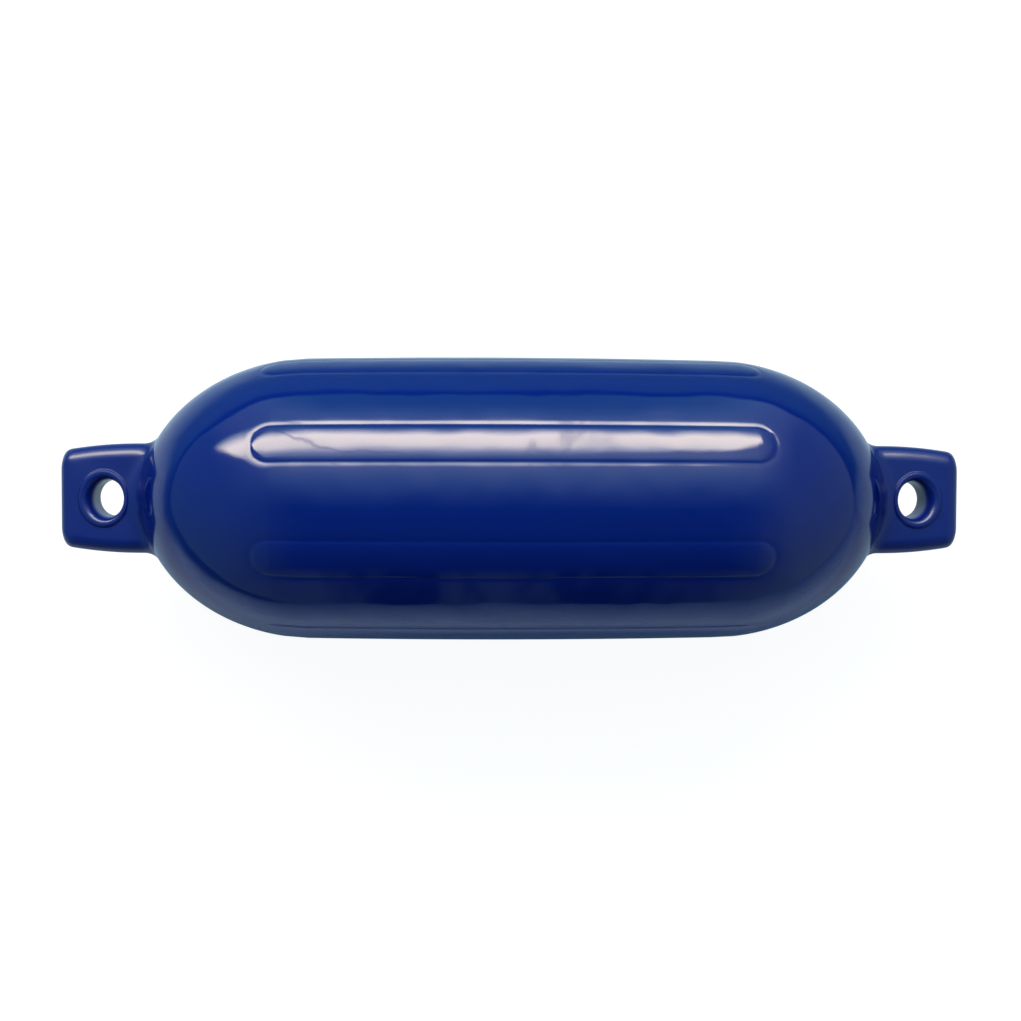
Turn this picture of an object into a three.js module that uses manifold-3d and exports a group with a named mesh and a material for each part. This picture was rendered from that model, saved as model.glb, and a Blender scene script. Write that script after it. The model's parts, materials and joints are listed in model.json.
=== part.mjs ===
// A ribbed twin-eye boat fender, moulded in one piece from soft gloss PVC, lying on its side.
// Millimetres. X runs along the fender, the eye holes run along Z, and the fender rests at Z = 0.
// The body is worked out about its own long axis and then lifted to where it rests.
import * as THREE from 'three';
import { mergeVertices } from 'three/addons/utils/BufferGeometryUtils.js';
import Module from 'manifold-3d';

// Overall size, and how the length is shared between eye, dome and barrel
const OVERALL_HALF_LENGTH = 342;
const EYE_LENGTH = 61.2;
const DOME_LENGTH = 125.3;
const BODY_RADIUS = 108;
const BARREL_DROP = 1.5;

// The small flat where the soft body settles on the ground
const FLAT_SPOT_WIDTH = 40;

// Raised ribs along the barrel, with a land facing straight down
const RIB_COUNT = 8;
const RIB_WIDTH = 28.3;
const RIB_RISE = 0.6;
const RIB_RUN_OUT = 29;
const RIB_OFFSET = -3.5;

// Eyes: flat tabs with a rope hole inside a raised ring
const TAB_TIP_WIDTH = 71.8;
const TAB_ROOT_WIDTH = 83;
const TAB_THICKNESS = 36;
const TAB_EDGE_RADIUS = 11;
const TAB_CORNER_RADIUS = 7.5;
const TAB_ROOT_FILLET = 15;
const TAB_FACE_FILLET = 20;
const HOLE_FROM_TIP = 35.2;
const HOLE_RADIUS = 13.6;
const HOLE_MOUTH_RADIUS = 18.4;
const HOLE_MOUTH_DEPTH = 5.5;
const RING_RADIUS = 22.2;
const RING_CREST_WIDTH = 2;
const RING_RISE = 1.75;
const RING_OVAL = 0.87;
const RING_SHIFT = 1.5;

// Inflation valve: a rubber needle valve in a pocket on the underside of one end
const VALVE_DOME_ANGLE = 49;
const VALVE_FLANGE_RADIUS = 8.5;
const VALVE_FLANGE_THICKNESS = 1.8;
const VALVE_STEM_RADIUS = 5;
const VALVE_LENGTH = 14;
const VALVE_NEEDLE_RADIUS = 1;
const VALVE_NEEDLE_DEPTH = 10;
const VALVE_CROWN = 0.5;
const VALVE_SINK = 0.4;
const VALVE_CHAMFER = 1;
const SEAT_CLEARANCE = 0.3;

// How finely the curves are faceted
const DOME_STEPS = 9;
const LAST_DOME_TURN = 84;
const BARREL_STEPS = 4;
const RIB_END_STEPS = 4;
const CORNER_STEPS = 5;
const TAB_FACE_STEPS = 4;
const TIP_STEPS = 4;
const TAB_LENGTH_STEPS = 2;
const FULLEST_TIP_EDGE = 0.98;
const FILLET_STEPS = 5;
const RING_STEPS = 3;
const MOUTH_STEPS = 2;
const HOLE_SEGMENTS = 40;
const VALVE_SEGMENTS = 28;

const degrees = THREE.MathUtils.degToRad;
const POLE = OVERALL_HALF_LENGTH - EYE_LENGTH;
const BARREL_HALF_LENGTH = POLE - DOME_LENGTH;
const RIB_HALF_LENGTH = BARREL_HALF_LENGTH + RIB_RUN_OUT;
const HOLE_X = OVERALL_HALF_LENGTH - HOLE_FROM_TIP;
const REST_HEIGHT = Math.sqrt(BODY_RADIUS ** 2 - (FLAT_SPOT_WIDTH / 2) ** 2);

const wasm = await Module();
wasm.setup();

const pvc = new THREE.MeshStandardMaterial({ color: 0x10307c, roughness: 0.16, metalness: 0 });
const rubber = new THREE.MeshStandardMaterial({ color: 0x17181a, roughness: 0.6, metalness: 0 });

// Solids and surfaces

function toSolid(geometry) {
  const bare = geometry.clone();
  bare.deleteAttribute('normal');
  bare.deleteAttribute('uv');
  const merged = mergeVertices(bare, 1e-4);
  const corners = merged.index.array;
  const kept = [];
  for (let i = 0; i < corners.length; i += 3) {
    const [a, b, c] = corners.slice(i, i + 3);
    if (a !== b && b !== c && c !== a) kept.push(a, b, c);
  }
  return new wasm.Manifold(new wasm.Mesh({
    numProp: 3,
    vertProperties: new Float32Array(merged.attributes.position.array),
    triVerts: new Uint32Array(kept),
  }));
}

function toGeometry(solid) {
  const mesh = solid.getMesh();
  const geometry = new THREE.BufferGeometry();
  geometry.setAttribute('position', new THREE.BufferAttribute(mesh.vertProperties, 3));
  geometry.setIndex(new THREE.BufferAttribute(mesh.triVerts, 1));
  geometry.computeVertexNormals();
  return geometry;
}

// A closed skin over loops of points that follow each other along an axis and run round it by the
// right-hand rule, with a fan over each end
function loft(loops) {
  const count = loops[0].length;
  const points = loops.flat();
  const middleOf = (loop) => loop.reduce((sum, p) => sum.add(p), new THREE.Vector3()).divideScalar(count);
  points.push(middleOf(loops[0]), middleOf(loops.at(-1)));
  const firstMiddle = points.length - 2;
  const lastMiddle = points.length - 1;
  const lastLoop = (loops.length - 1) * count;
  const faces = [];
  for (let i = 0; i < count; i += 1) {
    const j = (i + 1) % count;
    faces.push(firstMiddle, j, i);
    faces.push(lastMiddle, lastLoop + i, lastLoop + j);
    for (let ring = 0; ring < lastLoop; ring += count) {
      faces.push(ring + i, ring + j, ring + count + j);
      faces.push(ring + i, ring + count + j, ring + count + i);
    }
  }
  const geometry = new THREE.BufferGeometry().setFromPoints(points);
  geometry.setIndex(faces);
  return geometry;
}

// A turned shape about Z, from [radius, height] pairs that start and end on the axis
function turned(profile, segments) {
  return new THREE.LatheGeometry(profile.map(([r, h]) => new THREE.Vector2(r, h)), segments)
    .rotateX(Math.PI / 2);
}

// Body

// The inflated skin swells towards the middle: its radius drops with the square of the distance from
// there, by BARREL_DROP at the barrel's end and on over the dome, so the two meet in one smooth curve
function swellRadius(x) {
  return BODY_RADIUS - BARREL_DROP * (x / BARREL_HALF_LENGTH) ** 2;
}

function bodyRadius(x) {
  const outOnDome = Math.max(Math.abs(x) - BARREL_HALF_LENGTH, 0) / DOME_LENGTH;
  return swellRadius(x) * Math.sqrt(Math.max(1 - outOnDome ** 2, 0));
}

// A place on the dome by its turn round the half ellipse that closes the swell, with the direction
// straight out of the surface, square to the curve's own run
function domePoint(turn) {
  const x = BARREL_HALF_LENGTH + DOME_LENGTH * Math.sin(turn);
  const swell = swellRadius(x);
  const swellSlope = (2 * BARREL_DROP * x) / BARREL_HALF_LENGTH ** 2;
  const runAlong = DOME_LENGTH * Math.cos(turn);
  const runIn = swell * Math.sin(turn) + swellSlope * runAlong * Math.cos(turn);
  return { x, radius: swell * Math.cos(turn), outward: new THREE.Vector2(runIn, runAlong).normalize() };
}

// A rib is a long low pad with round ends: nearly level on top, and down to the body at its edge
function ribRise(x, offset) {
  const halfWidth = RIB_WIDTH / 2;
  const beyond = Math.max(Math.abs(x - RIB_OFFSET) - (RIB_HALF_LENGTH - halfWidth), 0) / halfWidth;
  const aside = offset / halfWidth;
  return RIB_RISE * Math.max(1 - (beyond ** 2 + aside ** 2) ** 2, 0);
}

// Stations from the middle to the +X or -X end: barrel, round end of the ribs, dome
function halfStations(side) {
  const ribEnd = RIB_HALF_LENGTH + side * RIB_OFFSET;
  const endStart = ribEnd - RIB_WIDTH / 2;
  const half = [];
  for (let i = 1; i <= BARREL_STEPS; i += 1) half.push((endStart * i) / BARREL_STEPS);
  for (let i = 1; i <= RIB_END_STEPS; i += 1) {
    half.push(endStart + (RIB_WIDTH / 2) * Math.sin((Math.PI / 2) * (i / RIB_END_STEPS)));
  }
  const firstTurn = Math.asin((ribEnd - BARREL_HALF_LENGTH) / DOME_LENGTH);
  for (let i = 1; i <= DOME_STEPS; i += 1) {
    half.push(domePoint(THREE.MathUtils.lerp(firstTurn, degrees(LAST_DOME_TURN), i / DOME_STEPS)).x);
  }
  return half;
}

function bodyStations() {
  return [...halfStations(-1).map((x) => -x).reverse(), 0, ...halfStations(1)];
}

// Angles round the body, measured from the rib's middle and the land's middle in each sector
function bodyAngles() {
  const sector = (2 * Math.PI) / RIB_COUNT;
  const ribHalf = RIB_WIDTH / 2 / BODY_RADIUS;
  const flatHalf = Math.asin(FLAT_SPOT_WIDTH / 2 / BODY_RADIUS);
  const angles = [];
  for (let i = 0; i < RIB_COUNT; i += 1) {
    const land = i * sector;
    const rib = land + sector / 2;
    angles.push(land, land + flatHalf);
    for (const share of [-1, -0.5, 0, 0.5, 1]) angles.push(rib + share * ribHalf);
    angles.push(land + sector - flatHalf);
  }
  return angles;
}

function ribbedBarrel() {
  const sector = (2 * Math.PI) / RIB_COUNT;
  const loops = bodyStations().map((x) => bodyAngles().map((angle) => {
    const fromRib = (angle % sector) - sector / 2;
    const radius = bodyRadius(x) + ribRise(x, fromRib * BODY_RADIUS);
    return new THREE.Vector3(x, radius * Math.sin(angle), -radius * Math.cos(angle));
  }));
  return loft(loops);
}

// Eyes

// A rounded rectangle in the YZ plane, as a loop of points
function tabSection(halfWidth, halfThickness, edgeRadius) {
  const points = [];
  const corners = [[1, 1, 0], [-1, 1, 90], [-1, -1, 180], [1, -1, 270]];
  corners.forEach(([sideY, sideZ, start], index) => {
    for (let i = 0; i <= CORNER_STEPS; i += 1) {
      const angle = degrees(start + (90 * i) / CORNER_STEPS);
      const outward = new THREE.Vector3(0, Math.cos(angle), Math.sin(angle));
      const y = sideY * (halfWidth - edgeRadius);
      const z = sideZ * (halfThickness - edgeRadius);
      points.push(new THREE.Vector3(0, y, z).addScaledVector(outward, edgeRadius));
    }
    const onWideFace = index % 2 === 0;
    for (let i = 1; onWideFace && i < TAB_FACE_STEPS; i += 1) {
      const y = sideY * (halfWidth - edgeRadius) * (1 - (2 * i) / TAB_FACE_STEPS);
      points.push(new THREE.Vector3(0, y, sideZ * halfThickness));
    }
  });
  return points;
}

// How far a quarter round of the given radius has opened out at a distance from its start
function roundedIn(radius, distance) {
  return radius - Math.sqrt(Math.max(radius ** 2 - Math.max(radius - distance, 0) ** 2, 0));
}

// The tab widens towards the body, quickly at first and then less
function tabHalfWidth(fromTip) {
  const share = 1 - (1 - fromTip / EYE_LENGTH) ** 2;
  const width = THREE.MathUtils.lerp(TAB_TIP_WIDTH, TAB_ROOT_WIDTH, share);
  return width / 2 - roundedIn(TAB_CORNER_RADIUS, fromTip);
}

function tabHalfThickness(fromTip) {
  return TAB_THICKNESS / 2 - roundedIn(TAB_EDGE_RADIUS, fromTip);
}

function tabSectionAt(fromTip) {
  const halfThickness = tabHalfThickness(fromTip);
  const edgeRadius = Math.min(TAB_EDGE_RADIUS, halfThickness * FULLEST_TIP_EDGE);
  return tabSection(tabHalfWidth(fromTip), halfThickness, edgeRadius);
}

// The root's fillet is fullest over the middle of the wide faces and least at the narrow sides
function rootFillet({ y, z }) {
  const faceShare = z ** 2 / (y ** 2 + z ** 2);
  return THREE.MathUtils.lerp(TAB_ROOT_FILLET, TAB_FACE_FILLET, faceShare);
}

// An arc that touches the tab at a point of its section and touches the dome, in the plane of the
// long axis. Its centre lies one radius off both, and halving an interval finds the dome's end of it.
function rootArc(at) {
  const inner = Math.hypot(at.y, at.z);
  const radius = rootFillet(at);
  let low = 0;
  let high = Math.PI / 2;
  for (let i = 0; i < 40; i += 1) {
    const turn = (low + high) / 2;
    const { radius: out, outward } = domePoint(turn);
    if (out + radius * outward.y > inner + radius) low = turn;
    else high = turn;
  }
  const { x, outward } = domePoint(low);
  const lastSwing = Math.atan2(-outward.y, -outward.x);
  return { inner, radius, centreX: x + radius * outward.x, lastSwing };
}

// The +X tab, from its rounded tip to a root that flares into the dome
function tab() {
  const loops = [];
  const addSection = (fromTip) => {
    loops.push(tabSectionAt(fromTip).map((at) => at.setX(OVERALL_HALF_LENGTH - fromTip)));
  };
  const roundLength = Math.max(TAB_CORNER_RADIUS, TAB_EDGE_RADIUS);
  for (let i = 0; i <= TIP_STEPS; i += 1) {
    addSection(roundLength * (1 - Math.cos((Math.PI / 2) * (i / TIP_STEPS))));
  }
  for (let i = 1; i <= TAB_LENGTH_STEPS; i += 1) {
    addSection(THREE.MathUtils.lerp(roundLength, HOLE_FROM_TIP, i / TAB_LENGTH_STEPS));
  }
  const arcs = tabSectionAt(EYE_LENGTH).map((at) => ({ at, ...rootArc(at) }));
  const flare = (share, sunk) => arcs.map(({ at, inner, radius, centreX, lastSwing }) => {
    const swing = THREE.MathUtils.lerp(-Math.PI / 2, lastSwing, share);
    const reach = inner + radius * (1 + Math.sin(swing));
    return at.clone().multiplyScalar(reach / inner).setX(centreX + radius * Math.cos(swing) - sunk);
  });
  for (let i = 0; i <= FILLET_STEPS; i += 1) loops.push(flare(i / FILLET_STEPS, 0));
  loops.push(flare(1, TAB_ROOT_FILLET));
  return loft(loops.reverse());
}

// The raised ring round the hole, as a disc through the tab with a flat crest and a rounded shoulder.
// It is narrower along the fender than across it, and sits a little nearer the tip than the hole.
function eyeRing() {
  const crest = TAB_THICKNESS / 2 + RING_RISE;
  const crestRadius = HOLE_MOUTH_RADIUS + RING_CREST_WIDTH;
  const shoulder = RING_RADIUS - crestRadius;
  const rim = [];
  for (let i = 0; i <= RING_STEPS; i += 1) {
    const angle = (Math.PI / 2) * (1 - i / RING_STEPS);
    rim.push([crestRadius + shoulder * Math.cos(angle), crest - shoulder * (1 - Math.sin(angle))]);
  }
  const lower = rim.map(([r, h]) => [r, -h]);
  return turned([[0, -crest], ...lower, ...rim.reverse(), [0, crest]], HOLE_SEGMENTS)
    .scale(RING_OVAL, 1, 1)
    .translate(RING_SHIFT, 0, 0);
}

// One loop of the rope hole: the round throat where open is 0, and the ring's oval where it is 1
function holeLoop(height, open) {
  const radius = THREE.MathUtils.lerp(HOLE_RADIUS, HOLE_MOUTH_RADIUS, open);
  const oval = THREE.MathUtils.lerp(1, RING_OVAL, open);
  const loop = [];
  for (let i = 0; i < HOLE_SEGMENTS; i += 1) {
    const angle = (2 * Math.PI * i) / HOLE_SEGMENTS;
    const x = RING_SHIFT * open + radius * oval * Math.cos(angle);
    loop.push(new THREE.Vector3(x, radius * Math.sin(angle), height));
  }
  return loop;
}

// The rope hole: a straight throat with a mouth that curves open towards each face
function ropeHole() {
  const crest = TAB_THICKNESS / 2 + RING_RISE;
  const upper = [];
  for (let i = 0; i <= MOUTH_STEPS; i += 1) {
    const share = i / MOUTH_STEPS;
    upper.push([crest - HOLE_MOUTH_DEPTH * (1 - share), share ** 2]);
  }
  upper.push([crest + HOLE_MOUTH_DEPTH, 1]);
  const lower = upper.map(([height, open]) => [-height, open]).reverse();
  return loft([...lower, ...upper].map(([height, open]) => holeLoop(height, open)));
}

// Valve

function onValveAxis(geometry) {
  return geometry.clone().applyQuaternion(valveTurn).translate(...valveSeat);
}

const valvePlace = domePoint(degrees(VALVE_DOME_ANGLE));
const valveSeat = new THREE.Vector3(valvePlace.x, 0, -valvePlace.radius);
const valveOut = new THREE.Vector3(valvePlace.outward.x, 0, -valvePlace.outward.y);
const valveTurn = new THREE.Quaternion().setFromUnitVectors(new THREE.Vector3(0, 0, 1), valveOut);

function valvePocket() {
  const flange = VALVE_FLANGE_RADIUS + SEAT_CLEARANCE;
  const stem = VALVE_STEM_RADIUS + SEAT_CLEARANCE;
  const ledge = -VALVE_SINK - VALVE_FLANGE_THICKNESS - SEAT_CLEARANCE;
  const floor = -VALVE_SINK - VALVE_LENGTH - SEAT_CLEARANCE;
  return turned([[0, floor], [stem, floor], [stem, ledge], [flange, ledge], [flange, VALVE_LENGTH],
    [0, VALVE_LENGTH]], VALVE_SEGMENTS);
}

function valveInsert() {
  const top = -VALVE_SINK;
  const under = top - VALVE_FLANGE_THICKNESS;
  const foot = top - VALVE_LENGTH;
  const stem = [[0, foot], [VALVE_STEM_RADIUS - VALVE_CHAMFER, foot],
    [VALVE_STEM_RADIUS, foot + VALVE_CHAMFER], [VALVE_STEM_RADIUS, under]];
  const flange = [[VALVE_FLANGE_RADIUS, under], [VALVE_FLANGE_RADIUS, top - VALVE_CROWN],
    [VALVE_FLANGE_RADIUS - VALVE_CHAMFER, top]];
  const needleHole = [[VALVE_NEEDLE_RADIUS + VALVE_CHAMFER, top],
    [VALVE_NEEDLE_RADIUS, top - VALVE_CHAMFER], [VALVE_NEEDLE_RADIUS, top - VALVE_NEEDLE_DEPTH],
    [0, top - VALVE_NEEDLE_DEPTH]];
  return turned([...stem, ...flange, ...needleHole], VALVE_SEGMENTS);
}

// Assembly

function fenderBody() {
  let solid = toSolid(ribbedBarrel());
  for (const turn of [0, Math.PI]) {
    const place = (geometry, x) => toSolid(geometry.clone().translate(x, 0, 0).rotateZ(turn));
    solid = solid.add(place(tab(), 0)).add(place(eyeRing(), HOLE_X)).subtract(place(ropeHole(), HOLE_X));
  }
  const ground = new THREE.BoxGeometry(2 * OVERALL_HALF_LENGTH, 2 * BODY_RADIUS, BODY_RADIUS)
    .translate(0, 0, -REST_HEIGHT - BODY_RADIUS / 2);
  return solid.subtract(toSolid(ground)).subtract(toSolid(onValveAxis(valvePocket())));
}

const fender = new THREE.Group();
fender.name = 'fender';
fender.position.z = REST_HEIGHT;

const body = new THREE.Mesh(toGeometry(fenderBody()), pvc);
body.name = 'fender_body';
fender.add(body);

const valve = new THREE.Mesh(toGeometry(toSolid(valveInsert())), rubber);
valve.name = 'valve_insert';
valve.position.copy(valveSeat);
valve.quaternion.copy(valveTurn);
fender.add(valve);

export default fender;
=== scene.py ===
# %% [markdown]
# # A ribbed boat fender in gloss PVC
# The fender is one soft moulding full of air. It lies on its side on a pale floor, and the camera
# looks down on it from a little over a metre up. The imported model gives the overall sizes, so the
# script first loads it and keeps its box, and each finer surface is then laid into the same place.

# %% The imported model
import json
import math

import bpy
import numpy as np
from mathutils import Matrix, Vector

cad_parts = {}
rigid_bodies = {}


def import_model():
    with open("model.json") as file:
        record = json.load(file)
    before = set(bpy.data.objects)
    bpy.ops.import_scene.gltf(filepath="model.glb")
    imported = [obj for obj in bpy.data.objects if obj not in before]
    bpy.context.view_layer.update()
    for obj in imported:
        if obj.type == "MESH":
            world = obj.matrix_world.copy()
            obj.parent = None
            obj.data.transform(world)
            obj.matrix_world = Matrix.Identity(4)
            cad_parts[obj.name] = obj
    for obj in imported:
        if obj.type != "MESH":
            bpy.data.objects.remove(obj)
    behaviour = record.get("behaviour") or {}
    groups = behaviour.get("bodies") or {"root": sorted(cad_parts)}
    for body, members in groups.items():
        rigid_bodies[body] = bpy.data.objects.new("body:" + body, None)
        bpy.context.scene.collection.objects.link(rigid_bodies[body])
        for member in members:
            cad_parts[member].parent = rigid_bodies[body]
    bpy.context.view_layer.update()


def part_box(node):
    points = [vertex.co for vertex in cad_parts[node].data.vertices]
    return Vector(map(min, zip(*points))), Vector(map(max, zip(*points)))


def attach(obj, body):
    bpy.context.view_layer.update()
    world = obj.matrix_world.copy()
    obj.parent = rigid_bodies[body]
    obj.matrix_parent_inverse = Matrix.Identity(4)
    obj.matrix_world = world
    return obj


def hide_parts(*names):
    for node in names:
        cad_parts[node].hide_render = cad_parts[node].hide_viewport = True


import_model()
body_low, body_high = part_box("fender_body")

# %% [markdown]
# ## Sizes
# All lengths are in metres. The overall length, the body's radius and the height of its long axis
# are measured on the model. The rest are the real object's own sizes, such as how far a rib stands
# out and how round the edge of a tab is.

# %% Sizes of the fender
HALF_LENGTH = (body_high[0] - body_low[0]) / 2
BODY_RADIUS = (body_high[1] - body_low[1]) / 2
AXIS_HEIGHT = body_high[2] - BODY_RADIUS

EYE_LENGTH = 0.059
DOME_LENGTH = 0.1275
BARREL_DROP = 0.0015
BARREL_HALF = HALF_LENGTH - EYE_LENGTH - DOME_LENGTH

RIB_COUNT = 8
RIB_WIDTH = 0.0283
RIB_RISE = 0.0006
RIB_PAST_BARREL = 0.029
RIB_HALF_LENGTH = BARREL_HALF + RIB_PAST_BARREL
RIB_OFFSET = -0.0035

# The groove fades over the first width towards the rib and over the second towards the land
GROOVE_DEPTH = 0.00026
GROOVE_WIDTH = 0.0015
FOOT_WIDTH = 0.0025

# Half the width of the band round a rib's edge in which the grid's lines lie closest
EDGE_HALF = 0.0038

TAB_TIP_WIDTH = 0.0718
TAB_ROOT_WIDTH = 0.083
TAB_THICKNESS = 0.036
TAB_EDGE_RADIUS = 0.011
TAB_CORNER_RADIUS = 0.0075
ROOT_FILLET = 0.015
FACE_FILLET = 0.02

HOLE_FROM_TIP = 0.0352
HOLE_X = HALF_LENGTH - HOLE_FROM_TIP
HOLE_RADIUS = 0.0136
MOUTH_RADIUS = 0.0184
MOUTH_DEPTH = 0.012
RING_RADIUS = 0.0222
RING_CREST_RADIUS = 0.0204
RING_RISE = 0.00175
RING_OVAL = 0.87
RING_SHIFT = 0.0015
THROAT_SHIFT = -0.0009
print("body radius", round(BODY_RADIUS, 4), "half length", round(HALF_LENGTH, 4))


# %% [markdown]
# ## The moulded skin as one grid
# Every point of the skin is found from two numbers. The first is the angle round the long axis.
# The second runs from the tip of one eye, over its tab, through the root fillet, over the dome and
# along the barrel. At one angle, that path lies in a flat plane through the axis, so it needs only
# two values at each step: how far along the fender it is, and how far from the axis. A cylinder that
# is bevelled and smoothed would be quicker to draw, but a grid worked out by formula keeps each
# radius at its real size.

# %% Helpers that put grids into meshes
def grid_faces(rows, columns):
    """Quads between neighbouring rows of a grid whose last column meets its first."""
    row, column = np.meshgrid(np.arange(rows - 1), np.arange(columns), indexing="ij")
    nextcol = (column + 1) % columns
    quads = [row * columns + column, row * columns + nextcol,
             (row + 1) * columns + nextcol, (row + 1) * columns + column]
    return np.stack(quads, axis=-1).reshape(-1, 4)


def fan_faces(centre, ring_start, columns, outward):
    """Triangles from one centre point to a ring, turned over where outward is False."""
    column = np.arange(columns)
    nextcol = (column + 1) % columns
    first, second = (column, nextcol) if outward else (nextcol, column)
    centres = np.full(columns, centre)
    return np.stack([centres, ring_start + first, ring_start + second], axis=-1)


def make_piece(name, points, faces, material=None):
    """A mesh object at the origin from an array of points and a list of face arrays."""
    mesh = bpy.data.meshes.new(name)
    listed = [face for group in faces for face in group.tolist()]
    mesh.from_pydata(points.reshape(-1, 3).tolist(), [], listed)
    mesh.update()
    mesh.polygons.foreach_set("use_smooth", np.ones(len(mesh.polygons), dtype=bool))
    piece = bpy.data.objects.new(name, mesh)
    bpy.context.scene.collection.objects.link(piece)
    if material:
        mesh.materials.append(material)
    return piece


# %% [markdown]
# ## Barrel, domes and ribs
# The barrel swells a little towards its middle, as an inflated moulding does, and each end is half
# of an ellipse turned about the axis. A rib is a long low pad with round ends: it is nearly level
# on top and falls to the body at its edge. A shallow groove a few millimetres wide runs round it, and
# that is what shows as a crease. The ribs sit a few millimetres nearer the -X eye. Bump alone could
# draw the crease, but then the outline of the body would stay round.

# %% Body profile
def swell_radius(x):
    """Body radius less a drop that grows with the square of the distance from the middle. It goes on
    over the dome, so the two meet in one smooth curve."""
    return BODY_RADIUS - BARREL_DROP * (x / BARREL_HALF) ** 2


def barrel_radius(x):
    """The swell's radius, times the half-ellipse of the dome beyond the barrel's end."""
    out = np.clip((np.abs(x) - BARREL_HALF) / DOME_LENGTH, 0.0, 1.0)
    return swell_radius(x) * np.sqrt(1.0 - out**2)


def rib_rise(x, angle):
    """Distance from the middle of the rib as a share of half its width, counted into the round ends
    too. The height is full less the fourth power of that share, and no less than nothing. The
    groove is a bell curve taken off where the share is one, wider on its outer side."""
    sector = 2 * math.pi / RIB_COUNT
    half_width = RIB_WIDTH / 2
    aside = (np.mod(angle + sector, sector) - sector / 2) * BODY_RADIUS / half_width
    beyond = np.maximum(np.abs(x - RIB_OFFSET) - (RIB_HALF_LENGTH - half_width), 0.0) / half_width
    share = np.hypot(aside, beyond)
    pad = RIB_RISE * np.maximum(1.0 - share**4, 0.0)
    from_edge = (share - 1.0) * half_width
    width = np.where(from_edge < 0.0, GROOVE_WIDTH, FOOT_WIDTH)
    return pad - GROOVE_DEPTH * np.exp(-((from_edge / width) ** 2))


def skin_angles(per_land=12, per_edge=12, per_rib=8):
    """Angles round the axis for one land and one rib, repeated for every rib: a close row of lines
    over each edge of the rib, and wider spaced ones over the rib's top and over the land."""
    sector = 2 * math.pi / RIB_COUNT
    rib_half = RIB_WIDTH / 2 / BODY_RADIUS
    edge_half = EDGE_HALF / BODY_RADIUS
    land_half = sector / 2 - rib_half - edge_half
    stops = (-land_half, land_half, land_half + 2 * edge_half,
             sector - land_half - 2 * edge_half, sector - land_half)
    counts = (per_land, per_edge, per_rib, per_edge)
    stretches = [np.linspace(first, last, count, endpoint=False)
                 for first, last, count in zip(stops[:-1], stops[1:], counts)]
    one_sector = np.concatenate(stretches)
    return np.concatenate([one_sector + number * sector for number in range(RIB_COUNT)])


print("lines along the body:", len(skin_angles()))


# %% [markdown]
# ## The eye's tab
# Cut across, a tab is a rectangle with well rounded edges. It grows a little wider towards the body,
# and at its tip the same section draws in along a quarter circle. The distance from the axis to this
# outline at a given angle comes from three cases: the wide face, the narrow face and the round edge.

# %% Tab section
def rounded_in(radius, distance):
    """How far a quarter circle still lies inside its full width, at a distance from its start."""
    return radius - np.sqrt(np.maximum(radius**2 - np.maximum(radius - distance, 0.0) ** 2, 0.0))


def tab_half_width(from_tip):
    """Half the tab's width, easing from the tip's to the root's, less the tip's round corner."""
    share = 1.0 - (1.0 - np.clip(from_tip / EYE_LENGTH, 0.0, 1.0)) ** 2
    width = TAB_TIP_WIDTH + (TAB_ROOT_WIDTH - TAB_TIP_WIDTH) * share
    return width / 2 - rounded_in(TAB_CORNER_RADIUS, from_tip)


def tab_reach(angle, from_tip):
    """Distance from the axis to a rectangle with rounded edges, along a ray at this angle: to the
    wide face, to the narrow face, or to the circle of the edge where the ray meets that first."""
    side, up = np.abs(np.sin(angle)), np.abs(np.cos(angle))
    half_width = tab_half_width(from_tip)
    half_thick = TAB_THICKNESS / 2 - rounded_in(TAB_EDGE_RADIUS, from_tip)
    edge = np.minimum(TAB_EDGE_RADIUS, half_thick * 0.98)
    centre_y, centre_z = half_width - edge, half_thick - edge
    to_wide = half_thick / np.maximum(up, 1e-9)
    to_narrow = half_width / np.maximum(side, 1e-9)
    middle = centre_y * side + centre_z * up
    inside = np.maximum(middle**2 - (centre_y**2 + centre_z**2 - edge**2), 0.0)
    to_edge = middle + np.sqrt(inside)
    on_wide = to_wide * side <= centre_y
    on_narrow = to_narrow * up <= centre_z
    return np.where(on_wide, to_wide, np.where(on_narrow, to_narrow, to_edge))


print("half the tab's width at its root:", round(float(tab_half_width(EYE_LENGTH)), 4))


# %% [markdown]
# ## The root fillet
# Where the tab meets the dome, the moulding flares in a hollow curve. A bevel on the line where two
# solids meet would have one width all round, but this curve is fuller over the wide faces. So in each
# plane through the axis it is an arc that touches the tab and the dome. Its centre lies one fillet
# radius off both, and a few halvings of an interval find where on the dome that is.

# %% Root fillet
FILLET_ROUNDS = 3
HALVINGS = 40


def fillet_radius(angle):
    """The square of the cosine of the angle shares it between the narrow sides' fillet and the
    fuller one over the middle of the wide faces."""
    return ROOT_FILLET + (FACE_FILLET - ROOT_FILLET) * np.cos(angle) ** 2


def dome_point(turn):
    """Distance along and from the axis at a turn round the ellipse, and the outward direction, which
    is square to the way that the curve runs along the fender and in towards the axis."""
    along = BARREL_HALF + DOME_LENGTH * np.sin(turn)
    swell = swell_radius(along)
    swell_slope = 2 * BARREL_DROP * along / BARREL_HALF**2
    run_along = DOME_LENGTH * np.cos(turn)
    run_in = swell * np.sin(turn) + swell_slope * run_along * np.cos(turn)
    normal = np.stack([run_in, run_along])
    return along, swell * np.cos(turn), normal / np.linalg.norm(normal, axis=0)


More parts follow.
